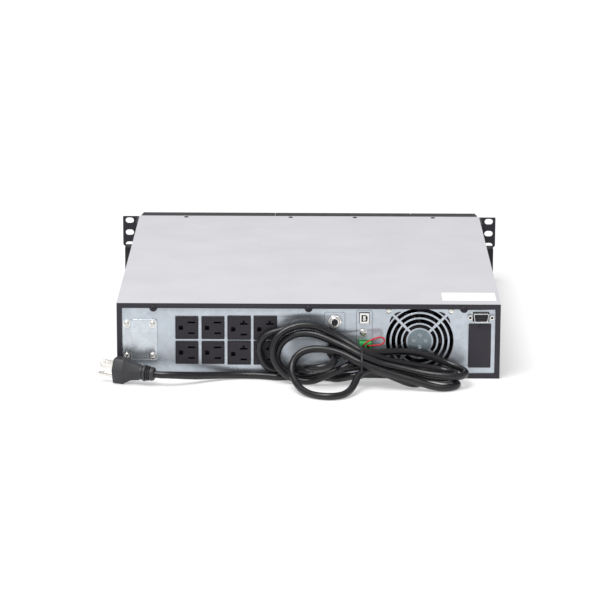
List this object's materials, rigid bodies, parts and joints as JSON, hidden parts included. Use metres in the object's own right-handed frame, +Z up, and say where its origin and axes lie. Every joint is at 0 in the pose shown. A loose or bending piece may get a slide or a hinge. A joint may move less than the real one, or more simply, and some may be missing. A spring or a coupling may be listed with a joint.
{
  "type": "rackmount ups",
  "caption": "Low, deep rackmount power supply with rear outlets, fan grille, rack ears, front battery drawer and a tied mains cord with its plug.",
  "frame": {"origin": "under the middle of the casing on the surface it stands on, midway between the bezel's front and the cord gland's mouth", "axes": "+Z up, +Y towards the front bezel, +X to the right for someone facing the rear panel"},
  "size_m": [0.4826, 0.5871, 0.088],
  "materials": {
    "cover_paint": "satin light grey paint",
    "black_paint": "fine-texture black powder coat",
    "galvanised_sheet": "bare zinc-coated sheet",
    "zinc_plate": "bright zinc plate",
    "black_plastic": "moulded, fine grain",
    "green_plastic": "moulded",
    "red_insulation": "wire insulation",
    "bezel_plastic": "moulded, fine grain",
    "display_lens": "clear dark window",
    "circuit_board": "solder mask",
    "aluminium": "extruded",
    "winding": "taped winding and ferrite",
    "battery_case": "moulded",
    "cord_jacket": "satin jacket",
    "brass_plated": "nickel-plated brass"
  },
  "bodies": {
    "chassis": {"base_tray": "black_paint", "battery_port_cover": "zinc_plate", "battery_port_screw_1": "zinc_plate", "battery_port_screw_2": "zinc_plate", "battery_port_screw_3": "zinc_plate", "battery_port_screw_4": "zinc_plate", "breaker_body": "black_plastic", "breaker_nut": "zinc_plate", "bus_capacitor": "battery_case", "cable_tie": "cord_jacket", "control_board": "circuit_board", "cord_gland": "black_plastic", "cord_hank_left": "cord_jacket", "cord_hank_right": "cord_jacket", "cord_hank_waist": "cord_jacket", "cord_tail": "cord_jacket", "cover_screw_centre": "black_paint", "cover_screw_left": "black_paint", "cover_screw_right": "black_paint", "display_window": "display_lens", "epo_socket": "green_plastic", "fan_frame": "black_plastic", "front_bezel": "bezel_plastic", "ground_screw": "zinc_plate", "heatsink": "aluminium", "main_board": "circuit_board", "option_slot_cover": "black_paint", "outlet_lower_1": "black_plastic", "outlet_lower_2": "black_plastic", "outlet_lower_3": "black_plastic", "outlet_lower_4": "black_plastic", "outlet_upper_1": "black_plastic", "outlet_upper_2": "black_plastic", "outlet_upper_3": "black_plastic", "outlet_upper_4": "black_plastic", "plug_blade_far": "brass_plated", "plug_blade_near": "brass_plated", "plug_body": "cord_jacket", "plug_ground_pin": "brass_plated", "rack_ear_left": "black_paint", "rack_ear_right": "black_paint", "rear_panel": "galvanised_sheet", "serial_jackscrew_left": "zinc_plate", "serial_jackscrew_right": "zinc_plate", "serial_port": "zinc_plate", "top_cover": "cover_paint", "transformer": "winding", "usb_port": "zinc_plate"},
    "battery_drawer": {"battery_door": "bezel_plastic", "battery_tray": "galvanised_sheet", "battery_module_1": "battery_case", "battery_module_2": "battery_case", "battery_module_3": "battery_case"},
    "fan_rotor": {"fan_rotor": "black_plastic"},
    "breaker_button": {"breaker_button": "black_plastic"},
    "epo_plug": {"epo_plug": "green_plastic", "epo_jumper_wire": "red_insulation"},
    "front_button_1": {"front_button_1": "bezel_plastic"},
    "front_button_2": {"front_button_2": "bezel_plastic"},
    "front_button_3": {"front_button_3": "bezel_plastic"}
  },
  "joints": [
    {"name": "battery_drawer_slide", "type": "slide", "parent": "chassis", "child": "battery_drawer", "axis": [0, 1, 0], "range_m": [0, 0.3]},
    {"name": "fan_spin", "type": "hinge", "parent": "chassis", "child": "fan_rotor", "pos_m": [0.1276, -0.21615, 0.044], "axis": [0, 1, 0], "continuous": true},
    {"name": "breaker_reset", "type": "slide", "parent": "chassis", "child": "breaker_button", "axis": [0, -1, 0], "range_m": [0, 0.004]},
    {"name": "epo_plug_pull", "type": "slide", "parent": "chassis", "child": "epo_plug", "axis": [0, -1, 0], "range_m": [0, 0.006]},
    {"name": "front_button_1_press", "type": "slide", "parent": "chassis", "child": "front_button_1", "axis": [0, -1, 0], "range_m": [0, 0.0012], "stiffness_N_per_m": 500},
    {"name": "front_button_2_press", "type": "slide", "parent": "chassis", "child": "front_button_2", "axis": [0, -1, 0], "range_m": [0, 0.0012], "stiffness_N_per_m": 500},
    {"name": "front_button_3_press", "type": "slide", "parent": "chassis", "child": "front_button_3", "axis": [0, -1, 0], "range_m": [0, 0.0012], "stiffness_N_per_m": 500}
  ]
}
